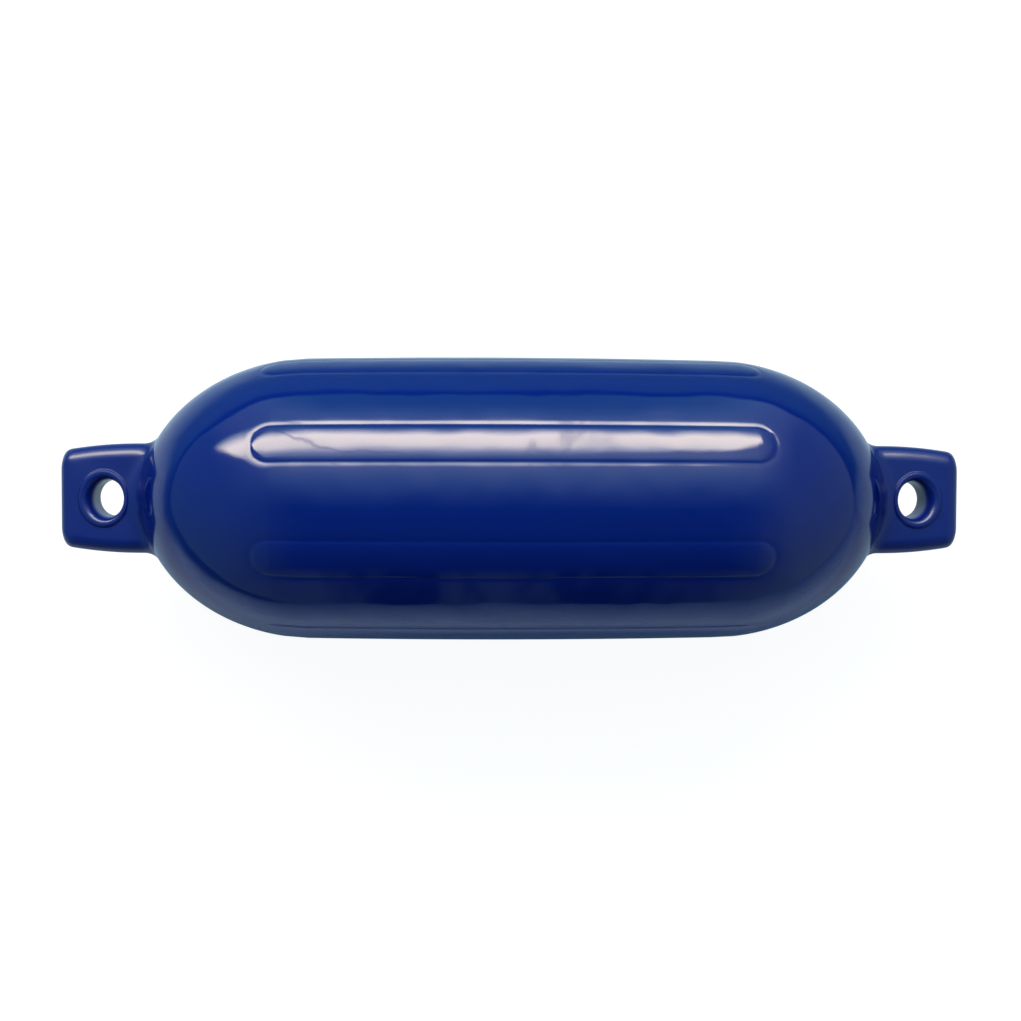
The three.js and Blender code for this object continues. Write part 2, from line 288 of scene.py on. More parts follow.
def root_fillet(angle):
    """The turn on the dome where the fillet ends, and the fillet's centre, for each angle. The tab's
    reach changes along it, so it is measured again at the place that each round finds."""
    radius = fillet_radius(angle)
    from_tip = np.full_like(angle, EYE_LENGTH)
    for _ in range(FILLET_ROUNDS):
        tab = tab_reach(angle, from_tip)
        low, high = np.zeros_like(angle), np.full_like(angle, math.pi / 2)
        for _ in range(HALVINGS):
            turn = (low + high) / 2
            along, out, normal = dome_point(turn)
            too_far_out = out + radius * normal[1] > tab + radius
            low = np.where(too_far_out, turn, low)
            high = np.where(too_far_out, high, turn)
        centre = along + radius * normal[0]
        from_tip = HALF_LENGTH - centre
    return turn, centre, tab + radius, normal


fillet_turns = root_fillet(np.array([0.0, math.pi / 2]))[0]
print("fillet ends this many degrees round the dome:", np.degrees(fillet_turns).round(1))


# %% [markdown]
# ## Laying out the grid
# The rings are spaced closely where the form turns quickly, at the tip, the fillet and the round ends
# of the ribs, and widely along the straight barrel. Both halves of the fender come from the same
# steps, and only the place where their ribs end differs.

# %% Rings of the skin
TIP_DISC_SHARES = (0.3, 0.6, 0.85)
TIP_RINGS = 15
TAB_RINGS = 21
FILLET_RINGS = 16
DOME_RINGS = 24
RIB_EDGE_RINGS = 11
RIB_END_RINGS = 15
BARREL_RINGS = 10


def even_steps(count):
    """Even steps up to one. Nought is left out, because the stretch before has made that ring."""
    return np.linspace(0.0, 1.0, count + 1)[1:]


def half_skin(angle, side):
    """Places along and from the axis, ring by ring, from an eye's tip to the middle. The side is +1
    or -1, and places along the axis are counted towards that side."""
    tip = tab_reach(angle, np.zeros_like(angle))
    rings = [(np.full_like(angle, HALF_LENGTH), tip * share) for share in TIP_DISC_SHARES]
    round_length = max(TAB_EDGE_RADIUS, TAB_CORNER_RADIUS)
    for share in np.linspace(0.0, 1.0, TIP_RINGS):
        from_tip = np.full_like(angle, round_length * (1 - math.cos(share * math.pi / 2)))
        rings.append((HALF_LENGTH - from_tip, tab_reach(angle, from_tip)))
    turn, centre_x, centre_out, normal = root_fillet(angle)
    for share in even_steps(TAB_RINGS):
        x = (HALF_LENGTH - round_length) * (1 - share) + centre_x * share
        rings.append((x, tab_reach(angle, HALF_LENGTH - x)))
    radius = fillet_radius(angle)
    full_swing = np.arctan2(-normal[1], -normal[0])
    for share in even_steps(FILLET_RINGS):
        swing = -math.pi / 2 * (1 - share) + full_swing * share
        rings.append((centre_x + radius * np.cos(swing), centre_out + radius * np.sin(swing)))
    rib_end = RIB_HALF_LENGTH + side * RIB_OFFSET
    rib_turn = math.asin((rib_end + EDGE_HALF - BARREL_HALF) / DOME_LENGTH)
    for share in even_steps(DOME_RINGS):
        along, out, _ = dome_point(turn * (1 - share) + rib_turn * share)
        rings.append((along, out))
    stops = (rib_end + EDGE_HALF, rib_end - EDGE_HALF, rib_end - RIB_WIDTH / 2, 0.0)
    counts = (RIB_EDGE_RINGS, RIB_END_RINGS, BARREL_RINGS)
    for first, last, count in zip(stops[:-1], stops[1:], counts):
        for x in first + (last - first) * even_steps(count):
            rings.append((np.full_like(angle, x), barrel_radius(x) + rib_rise(side * x, angle)))
    return np.array([ring[0] for ring in rings]), np.array([ring[1] for ring in rings])


def fender_skin(name):
    """The whole skin as one closed grid: the two halves meet in the middle, and a point on the axis
    closes each tip. It is level with the floor where it would sink into it."""
    angle = skin_angles()
    right_x, right_out = half_skin(angle, 1)
    left_x, left_out = half_skin(angle, -1)
    x = np.concatenate([right_x, -left_x[-2::-1]])
    out = np.concatenate([right_out, left_out[-2::-1]])
    height = np.maximum(AXIS_HEIGHT - out * np.cos(angle), 0.0)
    skin = np.stack([x, out * np.sin(angle), height], axis=-1)
    rows, columns = out.shape
    tips = np.array([[HALF_LENGTH, 0, AXIS_HEIGHT], [-HALF_LENGTH, 0, AXIS_HEIGHT]])
    points = np.concatenate([skin.reshape(-1, 3), tips])
    faces = [grid_faces(rows, columns)[:, ::-1],
             fan_faces(rows * columns, 0, columns, True),
             fan_faces(rows * columns + 1, (rows - 1) * columns, columns, False)]
    return make_piece(name, points, faces)


skin = fender_skin("fender_skin")
print("skin has", len(skin.data.polygons), "faces")


# %% [markdown]
# ## The ring and the rope hole
# A rope hole is a straight throat that opens like a small bell at each face, inside a raised ring.
# The ring and the hole are a little narrower along the fender than across it, so one profile is
# carried round the hole's axis in ovals. A ring and a plain bore would meet in a hard line, and one
# profile doesn't. The skin is bored a little wider than the throat, and this piece lines the bore
# and covers its edge.

# %% Turned pieces
# How far under the tab's face the ring starts, so that the two cross in a clean line
RING_SUNK = 0.00002
SHOULDER_STEPS = 14
MOUTH_STEPS = 12


def turned(profile, steps, place, oval=1.0, shift=0.0):
    """Points at radius r and height h carried round the Z axis in even steps, then placed. Each circle
    may be drawn in along X to an oval and moved along X by a shift."""
    swing = np.linspace(0.0, 2 * math.pi, steps, endpoint=False)
    r, h = profile[:, :1], profile[:, 1:]
    rows = np.stack([shift + oval * r * np.cos(swing), r * np.sin(swing), h + 0 * swing], axis=-1)
    flat = rows.reshape(-1, 3) @ np.array(place.to_3x3()).T + np.array(place.translation)
    return flat.reshape(rows.shape)


def ring_profile():
    """From just under the tab's face up an S-shaped shoulder to the flat crest, over the mouth's
    quarter ellipse into the throat, and the same again downwards, closed by a wall inside the tab."""
    face, crest = TAB_THICKNESS / 2, TAB_THICKNESS / 2 + RING_RISE
    share = np.linspace(0.0, 1.0, SHOULDER_STEPS)
    shoulder_r = RING_RADIUS + (RING_CREST_RADIUS - RING_RADIUS) * share
    shoulder_h = face - RING_SUNK + RING_RISE * share**2 * (3 - 2 * share)
    swing = np.linspace(math.pi / 2, 0.0, MOUTH_STEPS)
    mouth_r = MOUTH_RADIUS - (MOUTH_RADIUS - HOLE_RADIUS) * np.cos(swing)
    mouth_h = crest - MOUTH_DEPTH * (1 - np.sin(swing))
    upper = np.stack([np.concatenate([shoulder_r, mouth_r]),
                      np.concatenate([shoulder_h, mouth_h])], axis=-1)
    lower = upper[::-1] * np.array([1.0, -1.0])
    return np.concatenate([upper, lower, upper[:1]])


def eye_lining(name, profile, steps, place):
    """The profile carried round in ovals and closed on itself. How far an oval has opened from the
    throat to the mouth's edge moves it from the throat's place to the ring's."""
    opened = np.clip((profile[:-1, :1] - HOLE_RADIUS) / (MOUTH_RADIUS - HOLE_RADIUS), 0.0, 1.0)
    shift = THROAT_SHIFT + (RING_SHIFT - THROAT_SHIFT) * opened
    points = turned(profile[:-1], steps, place, RING_OVAL, shift)
    rows = len(profile) - 1
    quads = grid_faces(rows, steps)
    column = np.arange(steps)
    nextcol = (column + 1) % steps
    last = (rows - 1) * steps
    join = np.stack([last + column, last + nextcol, nextcol, column], axis=-1)
    return make_piece(name, points, [quads[:, ::-1], join[:, ::-1]])


def eye_place(side):
    """The middle of a rope hole, with X turned towards that eye's tip."""
    turn = 0.0 if side > 0 else math.pi
    return Matrix.Translation((side * HOLE_X, 0, AXIS_HEIGHT)) @ Matrix.Rotation(turn, 4, "Z")


# %% Boring the rope holes through the skin and lining them
def plug(name, profile, steps, place, oval=1.0, shift=0.0):
    """A closed turned solid: a point on the axis closes each end of the profile."""
    points = turned(profile, steps, place, oval, shift)
    rows = len(profile)
    ends = turned(np.array([[0.0, profile[0, 1]], [0.0, profile[-1, 1]]]), 1, place).reshape(-1, 3)
    count = rows * steps
    faces = [grid_faces(rows, steps), fan_faces(count, 0, steps, False),
             fan_faces(count + 1, (rows - 1) * steps, steps, True)]
    return make_piece(name, np.concatenate([points.reshape(-1, 3), ends]), faces)


def combine(target, other, operation):
    """Cuts or joins one mesh with another for good, and deletes the other."""
    step = target.modifiers.new("step", "BOOLEAN")
    step.operation = operation
    step.solver = "EXACT"
    step.object = other
    graph = bpy.context.evaluated_depsgraph_get()
    result = bpy.data.meshes.new_from_object(target.evaluated_get(graph))
    target.modifiers.remove(step)
    target.data = result
    bpy.data.objects.remove(other)


BORE_RADIUS = 0.0185
BORE_REACH = 0.03
BORE_STEPS = 64
RING_STEPS = 112
bore_wall = np.array([[BORE_RADIUS, -BORE_REACH], [BORE_RADIUS, BORE_REACH]])
for side in (-1, 1):
    place = eye_place(side)
    combine(skin, plug("bore", bore_wall, BORE_STEPS, place, RING_OVAL, RING_SHIFT), "DIFFERENCE")
    combine(skin, eye_lining("lining", ring_profile(), RING_STEPS, place), "UNION")
print("skin with its eyes has", len(skin.data.polygons), "faces")


# %% [markdown]
# ## The inflation valve
# On the underside of the +X dome, a black rubber needle valve sits in a stepped pocket. The camera
# doesn't see it from above. It sits square to the dome, at an angle round the end's ellipse, and its
# box is printed. The pocket and the valve are both round
# about one axis, so each is a profile carried round it.

# %% Valve sizes
VALVE_TURN = math.radians(49)
VALVE_SINK = 0.0004
VALVE_FLANGE = 0.0085
VALVE_THICK = 0.0018
VALVE_STEM = 0.005
VALVE_LENGTH = 0.014
VALVE_GROOVE = 0.0048
NEEDLE_HOLE = 0.001
NEEDLE_DEPTH = 0.01
VALVE_STEPS = 72
SEAT_GAP = 0.0003
POCKET_FLARE = 0.0012
POCKET_BELOW = 0.0008
POCKET_ABOVE = 0.0006
POCKET_TOP = 0.01

FLANGE_BACK = -VALVE_SINK - VALVE_THICK
STEM_END = -VALVE_SINK - VALVE_LENGTH


# %% Valve
def pocket_outline():
    """A narrow bore for the stem, a wide one for the flange, and a flare that rounds the mouth off."""
    stem = VALVE_STEM + SEAT_GAP
    flange = VALVE_FLANGE + SEAT_GAP
    return np.array([
        [stem, STEM_END - SEAT_GAP], [stem, FLANGE_BACK - SEAT_GAP], [flange, FLANGE_BACK - SEAT_GAP],
        [flange, -POCKET_BELOW], [flange + POCKET_FLARE, POCKET_ABOVE],
        [flange + POCKET_FLARE, POCKET_TOP],
    ])


def valve_outline():
    """From the foot of the stem, over the flange and the shallow groove in its face, and down into
    the needle hole. Each edge is broken by a few tenths of a millimetre."""
    face = -VALVE_SINK
    return np.array([
        [VALVE_STEM - 0.0010, STEM_END], [VALVE_STEM - 0.0003, STEM_END + 0.0003],
        [VALVE_STEM, STEM_END + 0.0010], [VALVE_STEM, FLANGE_BACK - 0.0001],
        [VALVE_FLANGE - 0.0001, FLANGE_BACK], [VALVE_FLANGE, FLANGE_BACK + 0.0002],
        [VALVE_FLANGE, face - 0.0008], [VALVE_FLANGE - 0.0002, face - 0.0003],
        [VALVE_FLANGE - 0.0007, face - 0.00005], [VALVE_FLANGE - 0.0015, face],
        [VALVE_GROOVE + 0.0008, face - 0.00005], [VALVE_GROOVE + 0.0004, face - 0.0003],
        [VALVE_GROOVE - 0.0004, face - 0.0003], [VALVE_GROOVE - 0.0008, face - 0.00005],
        [NEEDLE_HOLE + 0.0014, face], [NEEDLE_HOLE + 0.0008, face - 0.0002],
        [NEEDLE_HOLE + 0.0001, face - 0.0011], [NEEDLE_HOLE, face - NEEDLE_DEPTH],
    ])


seat_along, seat_out, seat_normal = dome_point(VALVE_TURN)
valve_seat = Vector((seat_along, 0, AXIS_HEIGHT - seat_out))
valve_out = Vector((seat_normal[0], 0, -seat_normal[1]))
valve_turned = valve_out.to_track_quat("Z", "Y").to_matrix().to_4x4()
valve_place = Matrix.Translation(valve_seat) @ valve_turned

combine(skin, plug("pocket", pocket_outline(), VALVE_STEPS, valve_place), "DIFFERENCE")
valve = plug("valve", valve_outline(), VALVE_STEPS, valve_place)
valve_corners = np.array([corner[:] for corner in valve.bound_box])
print("valve box here:", valve_corners.min(axis=0), valve_corners.max(axis=0))


# %% [markdown]
# ## Gloss PVC
# The skin is dense blue vinyl with a wet shine. Colour goes right through it, so it varies little:
# a broad, weak cloudiness is enough. What the eye reads is the gloss. The mould leaves long shallow
# waves that bend the reflections, and handling leaves faint patches where the shine is softer. A
# picture wrapped round the body could carry all this too, but it would need a file and would show
# where it joins. Noise in the object's own space has neither fault.

# %% Node helpers
# A Mix node uses the same socket names several times, so its sockets are counted
MIX_FACTOR = 0
MIX_NUMBERS = (2, 3)
MIX_COLOURS = (6, 7)
MIXED_NUMBER = 0
MIXED_COLOUR = 2


def clear_tree(owner):
    """The emptied node tree of a material or a world."""
    owner.use_nodes = True
    owner.node_tree.nodes.clear()
    return owner.node_tree


def node(tree, kind, x, y, **values):
    """A node of this kind at this place in the editor, with its plain properties set."""
    made = tree.nodes.new(kind)
    made.location = (x, y)
    for key, value in values.items():
        setattr(made, key, value)
    return made


def stretch(tree, x, y, begins, ends, **values):
    """A Map Range node that takes what lies between two places to the range from nothing to one."""
    made = node(tree, "ShaderNodeMapRange", x, y, **values)
    made.inputs["From Min"].default_value = begins
    made.inputs["From Max"].default_value = ends
    return made


def colour_mix(tree, x, y, first=None, second=None):
    """A Mix node for colours, with one or both of them set."""
    made = node(tree, "ShaderNodeMix", x, y, data_type="RGBA")
    for index, colour in zip(MIX_COLOURS, (first, second)):
        if colour:
            made.inputs[index].default_value = (*colour, 1)
    return made


def colour_ramp(tree, x, y, stops):
    """A Color Ramp node, from pairs of a place and a grey value or a colour."""
    made = node(tree, "ShaderNodeValToRGB", x, y)
    points = made.color_ramp.elements
    while len(points) < len(stops):
        points.new(0.5)
    for point, (place, value) in zip(points, stops):
        colour = value if isinstance(value, tuple) else (value, value, value)
        point.position = place
        point.color = (*colour, 1)
    return made


# %% What every moulded surface shares
def moulding_group():
    """Three noises of different size: shallow waves, fine orange peel and soft patches."""
    group = bpy.data.node_groups.new("moulded_surface", "ShaderNodeTree")
    face = group.interface
    for name, value in (("Wave Size", 30.0), ("Peel Size", 400.0), ("Patch Size", 14.0)):
        socket = face.new_socket(name, in_out="INPUT", socket_type="NodeSocketFloat")
        socket.default_value = value
    face.new_socket("Vector", in_out="INPUT", socket_type="NodeSocketVector")
    for name in ("Waves", "Peel", "Patches"):
        face.new_socket(name, in_out="OUTPUT", socket_type="NodeSocketFloat")
    inputs = node(group, "NodeGroupInput", -600, 0)
    outputs = node(group, "NodeGroupOutput", 300, 0)
    kinds = (("Wave Size", 1.0, 0.4, "Waves"),
             ("Peel Size", 2.0, 0.5, "Peel"),
             ("Patch Size", 4.0, 0.6, "Patches"))
    for index, (size, detail, rough, out) in enumerate(kinds):
        noise = node(group, "ShaderNodeTexNoise", -200, 200 - 250 * index)
        noise.inputs["Detail"].default_value = detail
        noise.inputs["Roughness"].default_value = rough
        group.links.new(inputs.outputs["Vector"], noise.inputs["Vector"])
        group.links.new(inputs.outputs[size], noise.inputs["Scale"])
        group.links.new(noise.outputs["Fac"], outputs.inputs[out])
    return group


MOULDED = moulding_group()
print("shared node group:", MOULDED.name)

# %% A moulded material
# The noise's values between which a patch turns from the glossier to the softer shine
PATCH_BEGINS = 0.35
PATCH_ENDS = 0.75


def moulded_material(name, colours, roughness, wave_height, peel_height):
    """A moulded plastic: two near colours mixed by patches, and bump from waves and peel. Returns the
    material, its shader and the node that sets the roughness."""
    material = bpy.data.materials.new(name)
    tree = clear_tree(material)
    output = node(tree, "ShaderNodeOutputMaterial", 600, 0)
    shader = node(tree, "ShaderNodeBsdfPrincipled", 300, 0)
    place = node(tree, "ShaderNodeTexCoord", -900, 0)
    surface = node(tree, "ShaderNodeGroup", -650, 0, node_tree=MOULDED)
    tint = colour_mix(tree, -200, 250, *colours)
    shine = stretch(tree, -200, 0, PATCH_BEGINS, PATCH_ENDS)
    shine.inputs["To Min"].default_value = roughness[0]
    shine.inputs["To Max"].default_value = roughness[1]
    waves = node(tree, "ShaderNodeBump", -200, -300)
    waves.inputs["Distance"].default_value = wave_height
    peel = node(tree, "ShaderNodeBump", 50, -300)
    peel.inputs["Distance"].default_value = peel_height
    link = tree.links.new
    link(place.outputs["Object"], surface.inputs["Vector"])
    link(surface.outputs["Patches"], tint.inputs[MIX_FACTOR])
    link(tint.outputs[MIXED_COLOUR], shader.inputs["Base Color"])
    link(surface.outputs["Patches"], shine.inputs["Value"])
    link(shine.outputs["Result"], shader.inputs["Roughness"])
    link(surface.outputs["Waves"], waves.inputs["Height"])
    link(surface.outputs["Peel"], peel.inputs["Height"])
    link(waves.outputs["Normal"], peel.inputs["Normal"])
    link(peel.outputs["Normal"], shader.inputs["Normal"])
    link(shader.outputs["BSDF"], output.inputs["Surface"])
    return material, shader, shine


# %% [markdown]
# ## Satin eyes
# The eyes are thick and solid, and they come out of the mould less glossy than the thin skin that
# air presses outwards. A second material would meet the first in a hard line, so the one material
# is rougher from the root of each eye outwards, and changes over a centimetre of the dome.

# %% Satin towards the eyes
SATIN_REACH = 0.014
SATIN_FADE = 0.01
SATIN_BEGINS = HALF_LENGTH - EYE_LENGTH - SATIN_REACH
SATIN_FULL = SATIN_BEGINS + SATIN_FADE


def satin_ends(tree, shader, shine, roughness):
    """Brings the roughness up to a higher value, by the distance from the middle along the fender."""
    place = node(tree, "ShaderNodeTexCoord", -900, 600)
    split = node(tree, "ShaderNodeSeparateXYZ", -700, 600)
    out = node(tree, "ShaderNodeMath", -500, 600, operation="ABSOLUTE")
    ends = stretch(tree, -300, 600, SATIN_BEGINS, SATIN_FULL, interpolation_type="SMOOTHSTEP")
    blend = node(tree, "ShaderNodeMix", -50, 500, data_type="FLOAT")
    glossy, satin = MIX_NUMBERS
    blend.inputs[satin].default_value = roughness
    link = tree.links.new
    link(place.outputs["Object"], split.inputs["Vector"])
    link(split.outputs["X"], out.inputs[0])
    link(out.outputs[0], ends.inputs["Value"])
    link(ends.outputs["Result"], blend.inputs[MIX_FACTOR])
    link(shine.outputs["Result"], blend.inputs[glossy])
    link(blend.outputs[MIXED_NUMBER], shader.inputs["Roughness"])


# %% The two finishes
PVC_COLOURS = ((0.0002, 0.0058, 0.093), (0.0004, 0.0068, 0.103))
PVC_ROUGHNESS = (0.06, 0.11)
PVC_WAVES = 0.0008
PVC_PEEL = 0.000012
PVC_IOR = 1.5
EYE_ROUGHNESS = 0.28
RUBBER_COLOURS = ((0.006, 0.006, 0.007), (0.011, 0.011, 0.012))
RUBBER_ROUGHNESS = (0.5, 0.65)
RUBBER_WAVES = 0.0
RUBBER_PEEL = 0.00004
SHARP_ANGLE = math.radians(38)

pvc, pvc_shader, pvc_shine = moulded_material("gloss_blue_pvc", PVC_COLOURS, PVC_ROUGHNESS,
                                              PVC_WAVES, PVC_PEEL)
pvc_shader.inputs["IOR"].default_value = PVC_IOR
satin_ends(pvc.node_tree, pvc_shader, pvc_shine, EYE_ROUGHNESS)
rubber, _, _ = moulded_material("black_valve_rubber", RUBBER_COLOURS, RUBBER_ROUGHNESS,
                                RUBBER_WAVES, RUBBER_PEEL)

for piece, material in ((skin, pvc), (valve, rubber)):
    piece.data.materials.clear()
    piece.data.materials.append(material)
    piece.data.set_sharp_from_angle(angle=SHARP_ANGLE)
    print(piece.name, "is finished in", material.name)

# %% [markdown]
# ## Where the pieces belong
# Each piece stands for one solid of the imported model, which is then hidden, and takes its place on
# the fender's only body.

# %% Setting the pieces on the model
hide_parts("fender_body")
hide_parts("valve_insert")
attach(skin, "root")
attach(valve, "root")
print("both pieces ride on the fender's one body")

# %% [markdown]
# ## The camera
# The photograph was taken from almost straight above. A line from the camera to the middle of the
# fender leans by under two degrees, which turns the ribs a little round the body, and the left eye is
# slightly nearer than the right one, so that end looks larger. A camera without perspective would
# miss both, so this one stands where the outline's own perspective puts it.

# %% Camera
PHOTO_PIXELS = 1021
FOCAL_PIXELS = 1354
SENSOR = 36.0
CAMERA_AT = Vector((-0.0426, 0.0234, AXIS_HEIGHT + 1.0418))
CAMERA_AIM = Vector((-0.0028, -0.0091, AXIS_HEIGHT + 0.0003))
CAMERA_ROLL = math.radians(0.17)

camera_data = bpy.data.cameras.new("camera")
camera_data.sensor_width = SENSOR
camera_data.lens = FOCAL_PIXELS / PHOTO_PIXELS * SENSOR
camera = bpy.data.objects.new("camera", camera_data)
bpy.context.scene.collection.objects.link(camera)
back = (CAMERA_AT - CAMERA_AIM).normalized()
right = Vector((0, 1, 0)).cross(back).normalized()
upward = back.cross(right)
facing = Matrix((right, upward, back)).transposed()
roll = Matrix.Rotation(CAMERA_ROLL, 4, "Z")
camera.matrix_world = Matrix.Translation(CAMERA_AT) @ facing.to_4x4() @ roll
bpy.context.scene.camera = camera
print("camera lens in millimetres:", round(camera_data.lens, 2))

# %% [markdown]
# ## Floor and light
# To the camera the floor is plain and nearly white, with the fender's soft shadow on it. The wet
# shine mirrors the whole room, and the photograph shows that it was dim: so for every other ray the
# floor is a matt mid tone, paler on the side away from the window, which is what gives the
# turned-under edges their pale rim. The lift is a soft glow that only camera rays meet. A lamp
# strong enough to whiten the floor would whiten the fender too, and this adds no light to it.

# %% Floor colours
FLOOR_HALF = 6.0
FLOOR_LIFT = 0.93
FLOOR_SEEN = (0.12, 0.12, 0.12)
FLOOR_SHADE = (0.05, 0.14, 0.2)
FLOOR_SHADE_ENDS = -1.3
FLOOR_SHADE_BEGINS = -0.65

# Stops across the fender, from this far on the side away from the window to this far towards it
FLOOR_ACROSS = 0.5
FLOOR_COLOURS = (
    (0.0, (0.42, 0.54, 0.85)),
    (0.19, (0.43, 0.54, 0.8)),
    (0.26, (0.35, 0.4, 0.6)),
    (0.34, (0.32, 0.38, 0.48)),
    (0.44, (0.34, 0.45, 0.6)),
    (0.6, (0.32, 0.42, 0.54)),
    (0.7, (0.2, 0.31, 0.4)),
    (0.8, (0.07, 0.15, 0.19)),
    (0.85, (0.05, 0.13, 0.16)),
)


# %% Floor
def floor_material():
    """A matt floor, paler on the side away from the window and darker far out beyond the left eye,
    that the camera sees lifted to white. What lies on it still shades it a little."""
    material = bpy.data.materials.new("matt_floor")
    tree = clear_tree(material)
    output = node(tree, "ShaderNodeOutputMaterial", 600, 0)
    place = node(tree, "ShaderNodeTexCoord", -800, 100)
    split = node(tree, "ShaderNodeSeparateXYZ", -600, 100)
    across = stretch(tree, -450, 100, -FLOOR_ACROSS, FLOOR_ACROSS)
    tint = colour_ramp(tree, -250, 150, FLOOR_COLOURS)
    along = stretch(tree, -400, 400, FLOOR_SHADE_ENDS, FLOOR_SHADE_BEGINS,
                    interpolation_type="SMOOTHSTEP")
    shade = colour_mix(tree, -50, 250, first=FLOOR_SHADE)
    seen = colour_mix(tree, 100, 350, second=FLOOR_SEEN)
    matt = node(tree, "ShaderNodeBsdfDiffuse", 250, 200)
    glow = node(tree, "ShaderNodeEmission", 0, -100)
    path = node(tree, "ShaderNodeLightPath", -400, -100)
    lift = node(tree, "ShaderNodeMath", -200, -100, operation="MULTIPLY")
    lift.inputs[1].default_value = FLOOR_LIFT
    total = node(tree, "ShaderNodeAddShader", 300, 0)
    first, second = MIX_COLOURS
    link = tree.links.new
    link(place.outputs["Object"], split.inputs["Vector"])
    link(split.outputs["Y"], across.inputs["Value"])
    link(across.outputs["Result"], tint.inputs["Fac"])
    link(split.outputs["X"], along.inputs["Value"])
    link(along.outputs["Result"], shade.inputs[MIX_FACTOR])
    link(tint.outputs["Color"], shade.inputs[second])
    link(shade.outputs[MIXED_COLOUR], seen.inputs[first])
    link(path.outputs["Is Camera Ray"], seen.inputs[MIX_FACTOR])
    link(seen.outputs[MIXED_COLOUR], matt.inputs["Color"])
    link(path.outputs["Is Camera Ray"], lift.inputs[0])
    link(lift.outputs[0], glow.inputs["Strength"])
    link(matt.outputs[0], total.inputs[0])
    link(glow.outputs[0], total.inputs[1])
    link(total.outputs[0], output.inputs["Surface"])
    return material


def flat_sheet(name, low, high, material):
    """A flat sheet in its own XY plane, from its lowest to its highest corner."""
    corners = np.array([[low[0], low[1], 0], [high[0], low[1], 0],
                        [high[0], high[1], 0], [low[0], high[1], 0]])
    return make_piece(name, corners, [np.array([[0, 1, 2, 3]])], material)


floor = flat_sheet("floor", (-FLOOR_HALF, -FLOOR_HALF), (FLOOR_HALF, FLOOR_HALF), floor_material())
print("floor is", 2 * FLOOR_HALF, "metres wide")

# %% [markdown]
# ## The window
# A long window stands beyond the upper edge of the picture, and the upper rib mirrors it as the
# bright streak. It is a glowing panel, and a ramp gives its colour by height: it comes up slowly
# from the edge over the fender, is strongest below the middle, and falls off quickly at the edge
# near the horizon. Four slanted shades along it cut its ends aslant and draw the two thin folds and
# the faint blotch that the streak shows. Where it is shaded, the room shows through. An area lamp
# would light the fender as well, but its mirrored edge would be hard and straight all round.

# %% Window colours
WINDOW_ANGLE = math.radians(46)
WINDOW_DISTANCE = 1.5
WINDOW_LEFT = -2.4
WINDOW_RIGHT = 0.85
WINDOW_HALF_HEIGHT = 0.5
WINDOW_STRENGTH = 17.5

# Stops by height, from the edge over the fender down to the edge near the horizon
WINDOW_COLOURS = (
    (0.0, (0.09, 0.12, 0.13)),
    (0.15, (0.2, 0.23, 0.23)),
    (0.28, (0.48, 0.47, 0.44)),
    (0.37, (0.85, 0.77, 0.63)),
    (0.455, (0.99, 0.89, 0.69)),
    (0.54, (1.06, 0.93, 0.73)),
    (0.628, (1.11, 0.98, 0.77)),
    (0.72, (0.77, 0.71, 0.62)),
    (0.8, (0.42, 0.42, 0.38)),
    (0.9, (0.14, 0.18, 0.17)),
    (1.0, (0.05, 0.08, 0.08)),
)

# Each shade is a slant, the places between which its ramp lies, and the ramp's stops
WINDOW_SHADES = (
    (1.18, -1.7, -1.54, ((0.0, 0.0), (1.0, 1.0))),
    (-1.39, 0.66, 0.87, ((0.0, 1.0), (1.0, 0.0))),
    (0.49, -0.6, -0.2, ((0.0, 0.92), (0.43, 0.92), (0.455, 0.35), (0.505, 0.35), (0.53, 0.98),
                        (0.6, 1.0))),
    (-0.07, 0.0, 0.4, ((0.0, 1.0), (0.32, 1.0), (0.34, 0.3), (0.37, 0.3), (0.39, 1.0), (0.46, 0.97),
                       (0.5, 0.72), (0.56, 0.72), (0.6, 1.0))),
)


